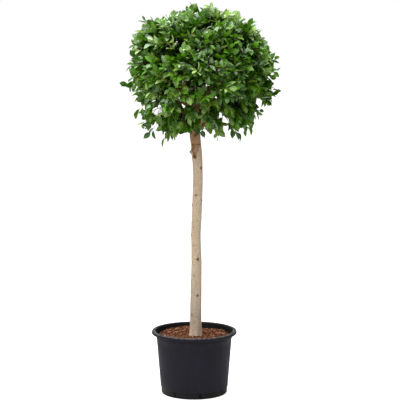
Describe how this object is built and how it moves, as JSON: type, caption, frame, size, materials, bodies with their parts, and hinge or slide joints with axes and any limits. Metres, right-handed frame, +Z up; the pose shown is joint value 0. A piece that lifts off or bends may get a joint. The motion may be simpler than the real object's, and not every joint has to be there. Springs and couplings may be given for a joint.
{
  "type": "standard lollipop topiary in a nursery pot",
  "caption": "Small evergreen tree on a bare clear stem, its head clipped to a leafy ball, standing in a round black plastic nursery pot topped with clay granules.",
  "frame": {"origin": "centre of the pot's flat underside", "axes": "+Z up along the pot's axis to the crown; -Y is the front, the side seen in the picture; +X is to the right from the front"},
  "size_m": [0.7601, 0.709, 1.8264],
  "materials": {
    "pot": "matte black moulded plastic, lightly scuffed",
    "granules": "rough baked-clay granules",
    "bark": "smooth pale bark with small knots and rings",
    "foliage": "glossy deep green leaves"
  },
  "bodies": {
    "root": {"pot": "pot", "granule_bed": "granules", "trunk": "bark", "bough_top": "bark", "foliage_top": "foliage", "bough_upper_front": "bark", "foliage_upper_front": "foliage", "bough_upper_right": "bark", "foliage_upper_right": "foliage", "bough_upper_back_right": "bark", "foliage_upper_back_right": "foliage", "bough_upper_back_left": "bark", "foliage_upper_back_left": "foliage", "bough_upper_left": "bark", "foliage_upper_left": "foliage", "bough_lower_front_left": "bark", "foliage_lower_front_left": "foliage", "bough_lower_front_right": "bark", "foliage_lower_front_right": "foliage", "bough_lower_right": "bark", "foliage_lower_right": "foliage", "bough_lower_back": "bark", "foliage_lower_back": "foliage", "bough_lower_left": "bark", "foliage_lower_left": "foliage"}
  },
  "joints": []
}
